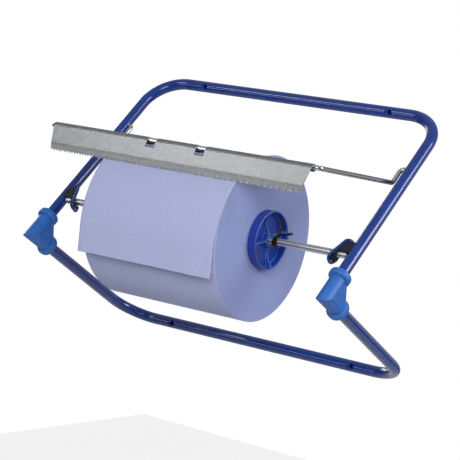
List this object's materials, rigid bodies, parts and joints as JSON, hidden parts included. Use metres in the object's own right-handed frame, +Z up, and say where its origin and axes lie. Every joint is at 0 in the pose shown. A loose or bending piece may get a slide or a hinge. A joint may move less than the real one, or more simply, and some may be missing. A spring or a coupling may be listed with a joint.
{
  "type": "wall-mounted paper roll holder",
  "caption": "Wall bracket of bent tube that carries a paper roll on a shaft between its arms, with a toothed tear-off blade hung on a swinging wire bail in front of the roll.",
  "frame": {"origin": "centre of the four wall screw holes, on the wall plane", "axes": "+X to the right seen from the front, -Y to the front, away from the wall, +Z up"},
  "size_m": [0.637, 0.3955, 0.465],
  "materials": {
    "blue_enamel": "gloss",
    "blue_elbow_plastic": "satin",
    "blue_hub_plastic": "satin",
    "black_plate": "matte",
    "chrome": "polished",
    "spring_wire": "satin",
    "black_vinyl": "satin",
    "paper": "matte",
    "cardboard": "matte",
    "galvanised_sheet": "spangled"
  },
  "bodies": {
    "frame": {"upper_frame": "blue_enamel", "lower_frame": "blue_enamel", "left_elbow": "blue_elbow_plastic", "right_elbow": "blue_elbow_plastic", "left_hanger": "blue_enamel", "right_hanger": "blue_enamel", "left_hanger_plate": "black_plate", "right_hanger_plate": "black_plate"},
    "shaft": {"roll_shaft": "chrome", "paper_tail": "paper"},
    "roll": {"paper_roll": "paper", "roll_core": "cardboard"},
    "right_hub": {"right_hub": "blue_hub_plastic"},
    "left_hub": {"left_hub": "blue_hub_plastic"},
    "right_clip": {"right_spring_clip": "spring_wire", "right_clip_tip": "black_vinyl"},
    "left_clip": {"left_spring_clip": "spring_wire", "left_clip_tip": "black_vinyl"},
    "bail": {"cutter_bail": "chrome"},
    "blade": {"cutter_blade": "galvanised_sheet"}
  },
  "joints": [
    {"name": "roll_lift", "type": "slide", "parent": "frame", "child": "shaft", "axis": [0, 0.9462, 0.3235], "range_m": [0, 0.06]},
    {"name": "roll_spin", "type": "hinge", "parent": "shaft", "child": "roll", "pos_m": [0, -0.25258, -0.01072], "axis": [1, 0, 0], "continuous": true},
    {"name": "right_hub_slide", "type": "slide", "parent": "roll", "child": "right_hub", "axis": [1, 0, 0], "range_m": [0, 0.04]},
    {"name": "left_hub_slide", "type": "slide", "parent": "roll", "child": "left_hub", "axis": [-1, 0, 0], "range_m": [0, 0.04]},
    {"name": "right_clip_slide", "type": "slide", "parent": "shaft", "child": "right_clip", "axis": [1, 0, 0], "range_m": [0, 0.04]},
    {"name": "left_clip_slide", "type": "slide", "parent": "shaft", "child": "left_clip", "axis": [-1, 0, 0], "range_m": [0, 0.04]},
    {"name": "bail_swing", "type": "hinge", "parent": "frame", "child": "bail", "pos_m": [0, -0.10394, 0.13219], "axis": [-1, 0, 0], "range_deg": [0, 100]},
    {"name": "blade_swing", "type": "hinge", "parent": "bail", "child": "blade", "pos_m": [0, -0.34377, 0.12107], "axis": [-1, 0, 0], "range_deg": [0, 100]}
  ],
  "couplings": [
    {"joint": "right_clip_slide", "follows": "right_hub_slide", "ratio": 1},
    {"joint": "left_clip_slide", "follows": "left_hub_slide", "ratio": 1}
  ]
}
